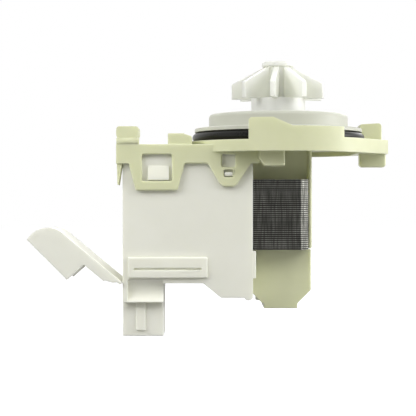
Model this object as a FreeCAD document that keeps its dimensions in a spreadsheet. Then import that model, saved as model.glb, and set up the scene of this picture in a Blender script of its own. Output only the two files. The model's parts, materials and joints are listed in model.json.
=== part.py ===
"""Dishwasher drain pump: a two-coil synchronous motor, its flange, seal and impeller.

Millimetres. The origin lies on the rotor axis at the flange's seat face. +Z runs up the
rotor axis to the impeller, -X points to the coil cover and connector, -Y is the front.
"""
import FreeCAD, Part
import math
import os
import re
import Sketcher

from FreeCAD import Rotation, Vector

SIZES = (
    ("flange_rad", 37.5, "outer radius of the flange"),
    ("plate_thick", 2.5, "thickness of the flange plate"),
    ("rim_drop", 4.5, "how far the flange rim reaches below the seat face"),
    ("rim_wall", 2.0, "thickness of the flange rim"),
    ("deck_drop", 1.6, "top of the square deck below the seat face"),
    ("deck_thick", 2.4, "thickness of the square deck"),
    ("skirt_drop", 9.0, "lower edge of the skirt below the seat face"),
    ("skirt_wall", 1.7, "thickness of the skirt"),
    ("skirt_gap", 0.1, "clearance between skirt and coil cover"),
    ("skirt_lap", 2.6, "how far the skirt reaches past the cover on the right"),
    ("cover_reach", 60.8, "outer left wall of the coil cover from the axis"),
    ("cover_inset", 10.9, "outer right wall of the coil cover from the axis"),
    ("cover_half", 25.0, "half the depth of the coil cover"),
    ("cover_wall", 1.5, "wall of the coil cover"),
    ("cover_drop", 54.9, "left bottom of the coil cover"),
    ("cover_deep", 60.4, "right bottom of the coil cover"),
    ("cover_head_gap", 0.2, "clearance between the coil cover's top edge and the flange rim"),
    ("core_height", 27.15, "height of the laminated core"),
    ("core_top", 15.0, "top of the laminated core below the seat face"),
    ("sheet_thick", 0.75, "thickness of one steel sheet"),
    ("sheet_pitch", 0.80, "spacing of the steel sheets"),
    ("sheet_groove", 0.12, "depth of the groove between two sheets' edges"),
    ("pole_half", 20.0, "half the depth over the pole pieces"),
    ("pole_inset", 12.0, "left end of the pole pieces from the axis"),
    ("pole_reach", 10.9, "right end of the pole pieces from the axis"),
    ("pole_chamfer", 3.1, "chamfer on the pole pieces' outer corners"),
    ("pole_tip_half", 4.0, "half the gap between the two pole tips"),
    ("bore_rad", 10.4, "radius of the bore between the poles"),
    ("leg_inner", 9.5, "inner face of a core leg from the middle plane"),
    ("leg_outer", 18.5, "outer face of a core leg from the middle plane"),
    ("yoke_reach", 57.0, "left end of the yoke from the axis"),
    ("yoke_width", 9.5, "width of the yoke"),
    ("can_rad", 10.2, "outer radius of the rotor can"),
    ("can_wall", 0.9, "wall of the rotor can"),
    ("can_floor", 1.0, "floor and step thickness of the rotor can"),
    ("pocket_rad", 6.3, "inner radius of the rear bearing pocket"),
    ("pocket_wall", 1.2, "wall of the rear bearing pocket"),
    ("pocket_depth", 56.0, "floor of the rear bearing pocket below the seat face"),
    ("shaft_rad", 1.6, "radius of the rotor shaft"),
    ("shaft_top", 29.0, "upper end of the rotor shaft"),
    ("bearing_gap", 0.03, "running clearance of the shaft in its bearings"),
    ("bearing_rad", 4.0, "outer radius of the bearings"),
    ("bearing_len", 7.5, "length of the bearings"),
    ("cup_wall", 2.0, "wall of the rubber cup round the front bearing"),
    ("cup_lip", 1.0, "lip of the rubber cups under the bearings"),
    ("front_bearing_foot", 0.5, "lower end of the front bearing below the seat face"),
    ("rotor_gap", 0.5, "running gap between magnet and can"),
    ("rotor_top", 15.5, "upper end of the rotor body below the seat face"),
    ("rotor_len", 24.8, "length of the rotor body"),
    ("magnet_bore", 4.5, "inner radius of the magnet"),
    ("collar_thick", 1.0, "thickness of the collars that hold the magnet"),
    ("sleeve_rad", 3.0, "radius of the rotor's spacer sleeves"),
    ("washer_thick", 0.6, "thickness of the thrust washers"),
    ("washer_rad", 3.9, "radius of the thrust washers"),
    ("end_play", 0.2, "axial play at each thrust washer"),
    ("disc_rad", 27.7, "outer radius of the bearing plate's disc"),
    ("disc_top", 11.3, "top of the bearing plate"),
    ("disc_thick", 2.0, "thickness of the bearing plate's top"),
    ("disc_wall", 1.8, "wall of the bearing plate's drum"),
    ("ring_lap", 0.9, "how far the ring flange reaches past the middle of the seal's cord"),
    ("ring_foot", 4.0, "underside of the ring flange"),
    ("ring_thick", 1.6, "thickness of the ring flange"),
    ("ring_round", 0.6, "round of the ring flange's top edge"),
    ("spigot_wall", 1.8, "wall of the bearing plate's foot inside the seal"),
    ("plug_gap", 0.1, "clearance of the bearing plate's plug in the can mouth"),
    ("plug_drop", 4.0, "depth of the bearing plate's plug"),
    ("plug_rise", 0.4, "shoulder of the bearing plate's plug above the seat face"),
    ("rib_thick", 1.5, "thickness of the bearing plate's ribs"),
    ("rib_count", 8, "number of ribs under the bearing plate"),
    ("seal_cord", 3.6, "thickness of the seal ring's cord"),
    ("seal_stretch", 0.1, "clearance between seal ring and bearing plate"),
    ("seal_side_gap", 0.7, "clearance of the seal ring inside the seat face"),
    ("seal_seat_gap", 0.3, "clearance of the seal ring over the floor of its groove"),
    ("seat_width", 2.5, "width of the seat face at the flange's edge"),
    ("seat_step", 0.2, "depth of the flange's floor inside the seat face"),
    ("blade_tip", 18.6, "radius to the impeller blade tips"),
    ("blade_thick", 2.0, "thickness of an impeller blade"),
    ("blade_count", 9, "number of impeller blades"),
    ("blade_foot", 17.35, "lower edge of the impeller blades"),
    ("blade_shoulder", 23.6, "top of the blade at its tip"),
    ("blade_head", 30.1, "top of the blade at the boss"),
    ("blade_turn", -99.5, "direction of the blade next to the front, in degrees"),
    ("boss_rad", 6.5, "radius of the impeller's top boss"),
    ("boss_top", 32.3, "top of the impeller"),
    ("hub_rad", 5.6, "radius of the impeller hub between the blades"),
    ("clutch_rad", 10.8, "outer radius of the impeller's clutch cup"),
    ("clutch_wall", 1.2, "wall of the clutch cup"),
    ("clutch_roof", 17.6, "top of the clutch cup"),
    ("clutch_roof_thick", 1.0, "thickness of the clutch cup's roof"),
    ("clutch_lift", 0.5, "clearance between clutch cup and bearing plate"),
    ("lid_thick", 1.0, "thickness of the clutch lid"),
    ("dog_thick", 3.0, "height of the drive dog"),
    ("dog_lift", 0.4, "clearance of the drive dog in the clutch cup"),
    ("dog_width", 3.0, "width of the drive dog's vane"),
    ("dog_hub_rad", 3.4, "radius of the drive dog's hub"),
    ("dog_reach", 9.0, "radius to the end of the drive dog"),
    ("stop_width", 3.0, "width of the stop inside the clutch cup"),
    ("buffer_wall", 1.0, "wall of the rubber buffer on the stop"),
    ("impeller_gap", 0.05, "running clearance of the impeller on the shaft"),
    ("cap_left", 10.7, "left side of the rear cap from the axis"),
    ("cap_right", 12.25, "right side of the rear cap from the axis"),
    ("cap_half", 12.0, "half the depth of the rear cap"),
    ("cap_wall", 1.6, "wall of the rear cap"),
    ("cap_ease", 1.1, "start of the rear cap's slopes below the can's end"),
    ("cap_slope", 5.3, "height of the rear cap's slopes"),
    ("cap_slope_left", 4.0, "height and width of the rear cap's left slope"),
    ("cap_boss", 1.9, "height of the boss under the rear cap"),
    ("cap_boss_inset", 0.5, "how far the boss lies inside the end of the cap's left slope"),
    ("cap_grip", 0.05, "clearance of the rear cap on the bearing pocket"),
    ("box_half", 15.0, "half the depth of the upper motor box"),
    ("box_recess", 3.0, "how far the box's front and back walls lie behind its sides"),
    ("box_right", 12.4, "right side of the upper motor box"),
    ("box_wall", 1.4, "wall of the upper motor box"),
    ("guard_drop", 41.7, "lower edge of the guard wall beside the core"),
    ("bobbin_gap", 0.1, "clearance between core leg and bobbin"),
    ("bobbin_wall", 1.0, "wall of the bobbins"),
    ("bobbin_left", 46.5, "left end of the bobbins from the axis"),
    ("bobbin_right", 14.0, "right end of the bobbins from the axis"),
    ("cheek_thick", 1.2, "thickness of the bobbin cheeks"),
    ("cheek_rise", 0.3, "how far a bobbin cheek stands above its winding"),
    ("winding_thick", 3.0, "thickness of the windings"),
    ("header_right", 45.2, "right side of the connector header from the axis"),
    ("header_front", 22.0, "front face of the connector header from the middle plane"),
    ("header_depth", 21.0, "depth of the connector header"),
    ("sill_foot", 62.2, "foot of the sill between the cover's front and the header"),
    ("sill_wall", 2.0, "wall at the left end of the sill's hollow"),
    ("hollow_rad", 5.1, "radius of the hollow over the sill"),
    ("hollow_middle", 57.65, "middle line of the hollow below the seat face"),
    ("hollow_set", 3.0, "how far the hollow's middle line lies before the cover"),
    ("header_foot", 75.2, "mouth of the connector header"),
    ("header_floor", 61.6, "floor of the connector socket"),
    ("header_wall", 1.4, "wall of the connector header"),
    ("pin_thick", 0.8, "thickness of the terminal pins"),
    ("pin_width", 4.8, "width of the terminal pins"),
    ("pin_spacing", 10.0, "spacing of the two terminal pins"),
    ("pin_place", 53.0, "terminal pins from the axis"),
    ("pin_recess", 2.4, "how far the terminal pins end inside the socket's mouth"),
    ("pin_gap", 0.05, "clearance of the terminal pins in their slots"),
    ("flap_pivot_drop", 54.6, "flap pivot below the seat face"),
    ("bead_rad", 0.6, "radius of the flap's hinge bead"),
    ("bead_gap", 0.3, "clearance between hinge bead and coil cover"),
    ("flap_front", 26.5, "front face of the connector flap from the middle plane"),
    ("flap_depth", 28.3, "depth of the connector flap"),
    ("flap_wall", 1.2, "wall of the connector flap"),
    ("flap_rise", 39.6, "how far the open flap points up, in degrees"),
    ("arm_depth", 3.5, "depth of the flap's arms"),
    ("hood_start", 16.3, "start of the flap's hood along the arm"),
    ("hood_depth", 12.1, "depth of the flap's hood"),
    ("flap_reach", 38.1, "length of the flap from its pivot"),
    ("deck_overhang", 2.4, "how far the deck stands past the cover on the left"),
    ("deck_end", 15.0, "right end of the deck from the axis"),
    ("tongue_foot", 17.2, "tip of the snap tongue on the left"),
    ("tongue_half", 26.0, "outer side of the snap tongues from the middle plane"),
    ("tongue_width", 8.0, "width of a snap tongue on the left"),
    ("tab_left", 55.6, "left foot corner of the window tab"),
    ("tab_right", 39.8, "right foot corner of the window tab"),
    ("tab_flare", 2.8, "how far the window tab widens up to the skirt"),
    ("tab_foot", 19.3, "foot of the window tab"),
    ("window_left", 53.3, "left side of the catch window"),
    ("window_right", 41.9, "right side of the catch window"),
    ("window_top", 5.5, "top of the catch window"),
    ("window_foot", 15.7, "foot of the catch window"),
    ("slot_middle", 20.2, "middle of the slot tab from the axis"),
    ("slot_tab_left", 28.1, "left root of the slot tab"),
    ("slot_tab_right", 11.7, "right root of the slot tab"),
    ("slot_tab_round", 3.4, "round of the slot tab's foot"),
    ("slot_tab_foot", 17.8, "foot of the slot tab"),
    ("slot_half", 2.6, "half the width of the slot"),
    ("slot_foot", 10.4, "foot of the slot's wide part"),
    ("key_half", 1.8, "half the width of the slot's narrow part"),
    ("key_foot", 14.2, "foot of the slot's narrow part"),
    ("catch_left", 51.0, "left side of the cover's catch"),
    ("catch_right", 43.0, "right side of the cover's catch"),
    ("catch_top", 9.9, "top of the cover's catch"),
    ("catch_foot", 15.4, "foot of the cover's catch"),
    ("catch_rise", 1.4, "how far the cover's catches stand out"),
    ("key_catch_top", 12.2, "top of the small catch"),
    ("key_catch_foot", 13.8, "foot of the small catch"),
    ("key_gap", 0.2, "clearance of the small catch in its slot"),
    ("rail_left", 58.6, "left end of the cover's rail"),
    ("rail_right", 28.4, "right end of the cover's rail"),
    ("rail_top", 45.0, "top of the cover's rail"),
    ("rail_foot", 52.7, "foot of the cover's rail"),
    ("rail_rise", 1.2, "how far the rail stands out"),
    ("rail_edge", 2.2, "land at the ends of the rail's groove"),
    ("rail_groove", 49.0, "top of the rail's groove"),
    ("rail_groove_width", 0.9, "width of the rail's groove"),
    ("slope_left", 29.9, "left end of the cover's sloping bottom"),
    ("slope_right", 23.1, "right end of the cover's sloping bottom"),
    ("bump_len", 3.4, "length of the bump under the cover"),
    ("bump_drop", 1.0, "depth of the bump under the cover"),
    ("bump_round", 1.6, "round of the bump's edges"),
    ("core_notch_gap", 0.4, "clearance of the core in the cover's notch"),
    ("lip_reach", 1.2, "how far the cover's lip reaches over the cap"),
    ("lip_gap", 0.6, "clearance between the cover's lip and the cap"),
    ("lip_foot", 53.0, "foot of the cover's lip"),
    ("latch_left", 55.7, "left side of the header's latch rail"),
    ("latch_right", 52.2, "right side of the header's latch rail"),
    ("latch_top", 62.2, "top of the header's latch rail"),
    ("latch_foot", 73.0, "foot of the header's latch rail"),
    ("latch_rise", 0.8, "how far the latch rail stands out"),
    ("shoulder_left", 57.4, "left side of the header's shoulder"),
    ("shoulder_rad", 8.4, "hollow radius of the header's shoulder"),
    ("box_left", 12.6, "left side of the upper motor box"),
    ("guard_half", 15.0, "half the depth of the guard wall"),
    ("step_back", 0.15, "how far the can's step lies inside the core"),
    ("rim_step", 2.2, "thickness of the raised rim wall"),
    ("rim_high", 8.2, "top of the raised rim wall at the left"),
    ("rim_low", 5.0, "top of the raised rim wall at the right"),
    ("rim_left", 12.8, "left end of the raised rim wall"),
    ("rim_right", 23.8, "right end of the raised rim wall"),
    ("rim_slope_start", 3.6, "upper end of the rim wall's slope"),
    ("rim_slope_end", 3.7, "lower end of the rim wall's slope"),
    ("rim_ledge", 1.0, "top of the low rim wall between the raised wall and the wing"),
    ("lug_round", 1.3, "round of the lugs' edges"),
    ("wing_reach", 43.6, "right end of the bayonet wing from the axis"),
    ("wing_front", 2.6, "front corner of the bayonet wing's end"),
    ("wing_back", 19.0, "back side of the bayonet wing"),
    ("lock_lug_left", 33.5, "left side of the lock lug on the wing"),
    ("lock_lug_right", 42.6, "right side of the lock lug"),
    ("lock_lug_top", 8.6, "top of the lock lug at the right"),
    ("lock_lug_fall", 0.5, "fall of the lock lug's top to the left"),
    ("lock_lug_front", 10.5, "front face of the lock lug behind the axis"),
    ("lock_lug_width", 8.0, "width of the lock lug"),
    ("lower_lug_left", 32.2, "left side of the lower lug"),
    ("lower_lug_right", 42.7, "right side of the lower lug"),
    ("lower_lug_foot", 9.8, "foot of the lower lug"),
    ("lower_lug_front", 3.0, "front face of the lower lug from the axis"),
    ("lower_lug_width", 5.0, "width of the lower lug"),
    ("hook_front", 26.0, "front face of the deck hooks from the axis"),
    ("hook_width", 10.0, "width of the deck hooks"),
    ("hook_right", 54.5, "right side of the left hook"),
    ("hook_neck", 0.8, "underside of the hook's head"),
    ("hook_top", 5.3, "top of the left hook"),
    ("stop_left", 43.45, "left side of the deck stop"),
    ("stop_right", 37.2, "right side of the deck stop's top"),
    ("stop_top", 2.6, "top of the deck stop"),
    ("under_left", 8.7, "left side of the block under the flange"),
    ("under_right", 1.1, "right side of the block under the flange"),
    ("under_foot", 10.0, "foot of the block under the flange"),
    ("under_inset", 6.5, "front face of the block under the flange from the rim"),
    ("under_width", 9.0, "width of the block under the flange"),
    ("winding_round", 2.5, "corner round of the windings"),
    ("cutout_left", 37.0, "left end of the thermal cutout"),
    ("cutout_len", 12.0, "length of the thermal cutout"),
    ("cutout_front", 18.0, "front side of the thermal cutout"),
    ("cutout_width", 6.0, "width of the thermal cutout"),
    ("cutout_thick", 3.0, "thickness of the thermal cutout"),
    ("cutout_edge", 1.0, "edge round of the thermal cutout"),
    ("collar_gap", 4.0, "clearance between the cap's collar and the can's step"),
    ("shaft_clear", 0.6, "clearance of the shaft through the covers"),
    ("disc_round", 1.5, "round of the bearing plate's top edge"),
    ("washer_inlay", 0.3, "clearance of the front washer in the rubber cup's lip"),
    ("shaft_edge", 0.3, "chamfer on the shaft's ends"),
    ("collar_rad", 8.0, "radius of the collars that hold the magnet"),
    ("boss_round", 0.8, "round of the boss's edges"),
    ("blade_edge", 0.5, "slope at the blades' shoulders"),
    ("stop_gap", 0.4, "clearance of stop and lid round the dog's hub"),
    ("overcut", 1.0, "how far a cutting piece reaches past what it cuts"),
    ("pole_shoulder", 1.5, "how far a pole piece starts beside its leg"),
    ("tongue_lean", 1.4, "how far the snap tongue's tip leans away from the cover"),
    ("tongue_tip", 0.5, "thickness of the snap tongue's tip"),
    ("key_bridge", 1.0, "bridge between the slot's wide and narrow parts"),
    ("rim_corner", 0.8, "slope at the rim wall's left corner"),
    ("wing_root", 7.0, "how far the bayonet wing reaches in from the rim"),
    ("hook_undercut", 0.3, "how far the hook's head stands out over its neck"),
    ("stop_foot", 34.2, "right side of the deck stop's foot"),
    ("stop_foot_top", 1.5, "top of the deck stop's foot"),
    ("stop_lip", 0.2, "height of the deck stop's upright edge"),
    ("under_slope", 3.0, "height of the slope on the block under the flange"),
    ("under_run", 2.0, "width of the slope on the block under the flange"),
    ("catch_flat", 2.0, "height of the catch's flat face"),
    ("catch_edge", 0.2, "thickness of the catch's upper edge"),
    ("rail_groove_depth", 0.8, "depth of the rail's groove"),
    ("shoulder_edge", 0.2, "thickness of the header shoulder's edges"),
    ("rib_root", 0.5, "how far a rib runs into the walls it joins"),
    ("blade_root", 1.0, "how far a blade runs into the hub"),
    ("arm_start", 1.0, "start of the flap's arms along the arm"),
    ("heel_start", 2.2, "upper end of the slope on the arms' heel, along the arm"),
    ("heel_rise", 1.8, "depth of the arm where the heel's slope starts"),
    ("arm_heel", 5.1, "lower end of the slope on the arms' heel"),
    ("heel_depth", 3.0, "depth of the arm where the heel's slope ends"),
    ("hood_slope", 1.3, "slope of the hood's near edge"),
    ("tip_depth", 10.0, "depth of the hood at the flap's tip"),
    ("tip_round", 9.0, "round between the flap's plate and its end wall"),
)

doc = FreeCAD.newDocument("drain_pump")
sheet = doc.addObject("Spreadsheet::Sheet", "sizes")
for row, (alias, value, note) in enumerate(SIZES, start=1):
    sheet.set("A%d" % row, note)
    sheet.set("B%d" % row, str(value))
    sheet.setAlias("B%d" % row, alias)
doc.recompute()

nodes = []

# Places that several pieces share, in terms of the sizes
COVER_TOP = "-(rim_drop + cover_head_gap)"
CORE_TOP = "-core_top"
CORE_FOOT = "-(core_top + core_height)"
DECK_LEFT = "-(cover_reach + deck_overhang)"
SKIRT_IN = "(cover_half + skirt_gap)"
SKIRT_OUT = "(cover_half + skirt_gap + skirt_wall)"
CAN_INNER = "(can_rad - can_wall)"
CAN_STEP = "(core_top + core_height - step_back)"
SEAL_MID = "(flange_rad - seat_width - seal_side_gap - seal_cord / 2)"
SEAL_IN = "(%s - seal_cord / 2 - seal_stretch)" % SEAL_MID
CAP_SHOULDER = "(pocket_depth + can_floor + cap_ease)"
CAP_BOTTOM = "(%s + cap_slope)" % CAP_SHOULDER
FRONT_WASHER = "-(front_bearing_foot + end_play)"
CLUTCH_FOOT = "(disc_top + clutch_lift)"
CUP_INNER = "(clutch_rad - clutch_wall)"
HEADER_BACK = "-(header_front - header_depth)"
FLAP_BACK = "-(flap_front - flap_depth)"


def size(alias):
    """One size from the sheet, as a number."""
    return float(sheet.get(alias))


def named(text):
    """An expression with each size's alias led back to the sheet."""
    return re.sub(r"[a-z][a-z_]+", lambda word: "sizes." + word.group(0), str(text))


def bind(piece, prop, text):
    """Tie one property of a piece to an expression of the sizes."""
    piece.setExpression(prop, named(text))


def bind_place(piece, x="0", y="0", z="0"):
    """Tie a piece's place to expressions of the sizes."""
    bind(piece, "Placement.Base.x", x)
    bind(piece, "Placement.Base.y", y)
    bind(piece, "Placement.Base.z", z)


def span(pair):
    return "(%s) - (%s)" % (pair[1], pair[0])


def sided(side, near, far):
    """A low and high pair of Y places on the front (-1) or the back (1)."""
    if side < 0:
        return "-(%s)" % far, "-(%s)" % near
    return near, far


def block(name, x, y, z):
    """A box between low and high places on each axis."""
    piece = doc.addObject("Part::Box", name)
    bind(piece, "Length", span(x))
    bind(piece, "Width", span(y))
    bind(piece, "Height", span(z))
    bind_place(piece, x[0], y[0], z[0])
    return piece


def rod(name, radius, z, x="0", y="0"):
    """An upright cylinder between two heights."""
    piece = doc.addObject("Part::Cylinder", name)
    bind(piece, "Radius", radius)
    bind(piece, "Height", span(z))
    bind_place(piece, x, y, z[0])
    return piece


def cross_rod(name, radius, along, y="0", z="0", axis="X", x="0"):
    """A level cylinder along X or Y."""
    piece = doc.addObject("Part::Cylinder", name)
    piece.Placement.Rotation = Rotation(Vector(0, 0, 1), AXES[axis])
    bind(piece, "Radius", radius)
    bind(piece, "Height", span(along))
    if axis == "X":
        bind_place(piece, along[0], y, z)
    else:
        bind_place(piece, x, along[0], z)
    return piece


TOUCH = 0.001
AXES = {"X": Vector(1, 0, 0), "Y": Vector(0, 1, 0), "Z": Vector(0, 0, 1)}
PLANES = {
    "XY": (Rotation(), Vector(0, 0, 1), "z"),
    "XZ": (Rotation(Vector(1, 0, 0), 90), Vector(0, 1, 0), "y"),
    "YZ": (Rotation(Vector(1, 1, 1), 120), Vector(1, 0, 0), "x"),
}


def draw(sketch, outline):
    """A closed outline of straight lines, with each corner tied to the sizes."""
    count = len(outline)
    turn = 2 * math.pi / count
    corners = [Vector(math.cos(i * turn), math.sin(i * turn), 0) for i in range(count)]
    for i in range(count):
        sketch.addGeometry(Part.LineSegment(corners[i], corners[(i + 1) % count]))
    for i in range(count):
        sketch.addConstraint(Sketcher.Constraint("Coincident", i, 2, (i + 1) % count, 1))
    for i, (across, up) in enumerate(outline):
        for kind, place, text in (("DistanceX", corners[i].x, across), ("DistanceY", corners[i].y, up)):
            mark = sketch.addConstraint(Sketcher.Constraint(kind, -1, 1, i, 1, place))
            bind(sketch, "Constraints[%d]" % mark, text)


def prism(name, plane, outline, along):
    """An outline drawn on a plane and carried from a low to a high place across it."""
    turned_plane, direction, letter = PLANES[plane]
    sketch = doc.addObject("Sketcher::SketchObject", name + "_outline")
    draw(sketch, outline)
    sketch.Placement.Rotation = turned_plane
    bind(sketch, "Placement.Base." + letter, along[0])
    piece = doc.addObject("Part::Extrusion", name)
    piece.Base = sketch
    piece.DirMode = "Custom"
    piece.Dir = direction
    piece.Solid = True
    bind(piece, "LengthFwd", span(along))
    return piece


def turned(name, outline):
    """An outline of radius and height pairs turned about the rotor axis."""
    sketch = doc.addObject("Sketcher::SketchObject", name + "_outline")
    draw(sketch, outline)
    sketch.Placement.Rotation = PLANES["XZ"][0]
    piece = doc.addObject("Part::Revolution", name)
    piece.Source = sketch
    piece.Axis = AXES["Z"]
    piece.Angle = 360
    piece.Solid = True
    return piece


def sleeve(name, inner, outer, z):
    """A plain ring round the rotor axis."""
    return turned(name, [(inner, z[0]), (outer, z[0]), (outer, z[1]), (inner, z[1])])


def cut(name, base, *tools):
    """A piece with every tool taken out of it."""
    piece = doc.addObject("Part::Cut", name)
    piece.Base = base
    piece.Tool = tools[0] if len(tools) == 1 else fuse(name + "_tools", *tools)
    return piece


def fuse(name, *shapes):
    """Several solids joined into one."""
    piece = doc.addObject("Part::MultiFuse", name)
    piece.Shapes = list(shapes)
    piece.Refine = True
    return piece


def common(name, *shapes):
    """The space that several solids share."""
    piece = doc.addObject("Part::MultiCommon", name)
    piece.Shapes = list(shapes)
    return piece


def edges_along(shape, axis):
    """The straight edges of a shape that run along one axis, each with its number."""
    found = []
    for i, edge in enumerate(shape.Edges, start=1):
        if edge.Curve.TypeId == "Part::GeomLine":
            if abs(edge.tangentAt(edge.FirstParameter).dot(AXES[axis])) > 0.999:
                found.append((i, edge))
    return found


def rounded(name, base, radius, axis, near=None):
    """A piece with every straight edge along one axis rounded, or only the edge nearest to a point."""
    doc.recompute()
    found = edges_along(base.Shape, axis)
    if near is not None:
        found = [min(found, key=lambda pair: (pair[1].CenterOfMass - near).Length)]
    picked = [(i, radius, radius) for i, edge in found]
    piece = doc.addObject("Part::Fillet", name)
    piece.Base = base
    piece.Edges = picked
    return piece


def node(piece, label):
    """Name a finished sub-part for its file."""
    piece.Label = label
    nodes.append(piece)
    return piece


def new_body(name):
    return doc.addObject("PartDesign::Body", name)


def body_sketch(body, name, role, outline):
    """A sketch on one of a body's own origin planes."""
    plane = next(part for part in body.Origin.OriginFeatures if part.Role == role)
    sketch = body.newObject("Sketcher::SketchObject", name)
    sketch.AttachmentSupport = [(plane, "")]
    sketch.MapMode = "FlatFace"
    draw(sketch, outline)
    return sketch


def body_turned(body, name, outline):
    """The turned base of a body."""
    sketch = body_sketch(body, name + "_profile", "XZ_Plane", outline)
    feature = body.newObject("PartDesign::Revolution", name)
    feature.Profile = sketch
    feature.ReferenceAxis = (sketch, ["V_Axis"])
    feature.Angle = 360
    return feature


def body_vanes(body, name, outline, thick, count):
    """A flat vane through the body's axis plane, repeated round the axis."""
    sketch = body_sketch(body, name + "_profile", "XZ_Plane", outline)
    vane = body.newObject("PartDesign::Pad", name)
    vane.Profile = sketch
    vane.SideType = "Symmetric"
    bind(vane, "Length", thick)
    pattern = body.newObject("PartDesign::PolarPattern", name + "_pattern")
    pattern.Originals = [vane]
    pattern.Axis = (sketch, ["V_Axis"])
    pattern.Angle = 360
    bind(pattern, "Occurrences", count)
    body.Tip = pattern
    return pattern


def body_round(body, name, radius, *rims):
    """Round the circular edges of a body at the given radius and height pairs."""
    doc.recompute()
    base = body.Tip
    picked = []
    for i, edge in enumerate(base.Shape.Edges, start=1):
        if edge.Curve.TypeId == "Part::GeomCircle":
            for rim, height in rims:
                if abs(edge.Curve.Radius - rim) + abs(edge.Curve.Center.z - height) < TOUCH:
                    picked.append("Edge%d" % i)
    feature = body.newObject("PartDesign::Fillet", name)
    feature.Base = (base, picked)
    bind(feature, "Radius", radius)
    body.Tip = feature
    return feature


def make_flange():
    """The round flange with its rim, and the rotor can that hangs from it, turned in one."""
    step_top = "-(%s - can_floor)" % CAN_STEP
    return turned("flange_and_can", [
        (CAN_INNER, "-seat_step"),
        ("flange_rad - seat_width", "-seat_step"),
        ("flange_rad - seat_width", "0"),
        ("flange_rad", "0"),
        ("flange_rad", "-rim_drop"),
        ("flange_rad - rim_wall", "-rim_drop"),
        ("flange_rad - rim_wall", "-plate_thick"),
        ("can_rad", "-plate_thick"),
        ("can_rad", "-" + CAN_STEP),
        ("pocket_rad + pocket_wall", "-" + CAN_STEP),
        ("pocket_rad + pocket_wall", "-(pocket_depth + can_floor)"),
        ("0", "-(pocket_depth + can_floor)"),
        ("0", "-pocket_depth"),
        ("pocket_rad", "-pocket_depth"),
        ("pocket_rad", step_top),
        (CAN_INNER, step_top),
    ])


def make_deck():
    """The square deck over the coils, with a skirt on three sides that laps the coil cover."""
    skirt_z = ("-skirt_drop", "-(deck_drop + deck_thick / 2)")
    pieces = [
        block("deck", (DECK_LEFT, "-deck_end"), ("-" + SKIRT_OUT, SKIRT_OUT),
              ("-(deck_drop + deck_thick)", "-deck_drop")),
        block("skirt_left", (DECK_LEFT, "-(cover_reach + skirt_gap)"), ("-" + SKIRT_OUT, SKIRT_OUT),
              skirt_z),
    ]
    for side, word in ((-1, "front"), (1, "back")):
        skirt_y = sided(side, SKIRT_IN, SKIRT_OUT)
        pieces.append(block("skirt_" + word, (DECK_LEFT, "-cover_inset"), skirt_y, skirt_z))
        pieces.append(block("skirt_end_" + word, ("-deck_end", "-(cover_inset - skirt_lap)"), skirt_y,
                            ("-skirt_drop", "-plate_thick / 2")))
        pieces.append(make_window_tab(word, skirt_y))
        pieces.append(make_slot_tab(word, skirt_y))
        pieces.append(prism("snap_tongue_" + word, "XZ", [
            (DECK_LEFT, "-deck_drop - deck_thick / 2"),
            ("-(cover_reach + skirt_gap)", "-deck_drop - deck_thick / 2"),
            ("-(cover_reach + skirt_gap)", "-skirt_drop"),
            ("-(cover_reach + tongue_lean)", "-tongue_foot"),
            ("-(cover_reach + tongue_lean + tongue_tip)", "-tongue_foot"),
        ], sided(side, "tongue_half - tongue_width", "tongue_half")))
    return pieces


def make_window_tab(word, skirt_y):
    """A wide tab below the skirt with the window that takes a catch of the coil cover."""
    outline = [
        ("-(tab_left + tab_flare)", "-(skirt_drop - skirt_wall)"),
        ("-(tab_left + tab_flare)", "-skirt_drop"),
        ("-tab_left", "-tab_foot"),
        ("-tab_right", "-tab_foot"),
        ("-(tab_right - tab_flare)", "-skirt_drop"),
        ("-(tab_right - tab_flare)", "-(skirt_drop - skirt_wall)"),
    ]
    return prism("window_tab_" + word, "XZ", outline, skirt_y)


def make_slot_tab(word, skirt_y):
    """A tapered tab with a round foot and a keyed slot."""
    outline = [
        ("-slot_tab_left", "-(skirt_drop - skirt_wall)"),
        ("-slot_tab_left", "-skirt_drop"),
        ("-(slot_middle + slot_tab_round)", "-(slot_tab_foot - slot_tab_round / 3)"),
        ("-(slot_middle + 2 * slot_tab_round / 3)", "-slot_tab_foot"),
        ("-(slot_middle - 2 * slot_tab_round / 3)", "-slot_tab_foot"),
        ("-(slot_middle - slot_tab_round)", "-(slot_tab_foot - slot_tab_round / 3)"),
        ("-slot_tab_right", "-skirt_drop"),
        ("-slot_tab_right", "-(skirt_drop - skirt_wall)"),
    ]
    return prism("slot_tab_" + word, "XZ", outline, skirt_y)


def make_skirt_windows():
    """The catch windows and keyed slots through the skirt's tabs."""
    pieces = []
    for side, word in ((-1, "front"), (1, "back")):
        through = sided(side, "cover_half", SKIRT_OUT + " + skirt_wall")
        wide = ("-(slot_middle + slot_half)", "-(slot_middle - slot_half)")
        narrow = ("-(slot_middle + key_half)", "-(slot_middle - key_half)")
        pieces.append(block("window_" + word, ("-window_left", "-window_right"), through,
                            ("-window_foot", "-window_top")))
        pieces.append(block("slot_" + word, wide, through, ("-slot_foot", "-window_top")))
        pieces.append(block("key_" + word, narrow, through, ("-key_foot", "-(slot_foot + key_bridge)")))
    return pieces


def make_motor_box():
    """The open box between flange and core, and the guard wall that runs on beside the core."""
    between = ("-(box_left - box_wall)", "box_right - box_wall")
    tall = (CORE_TOP, "-plate_thick")
    room = "box_half - box_recess - box_wall"
    outer = block("box_outer", ("-box_left", "box_right"), ("-box_half", "box_half"), tall)
    inner = block("box_inner", between, ("-(%s)" % room, room), tall)
    recesses = []
    for side, word in ((-1, "front"), (1, "back")):
        recess_y = sided(side, "box_half - box_recess", "box_half + overcut")
        recesses.append(block("box_recess_" + word, between, recess_y, tall))
    guard = block("guard_wall", ("box_right - box_wall", "box_right"), ("-guard_half", "guard_half"),
                  ("-guard_drop", "-plate_thick / 2"))
    return [cut("motor_box", outer, inner, *recesses), guard]


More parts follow.
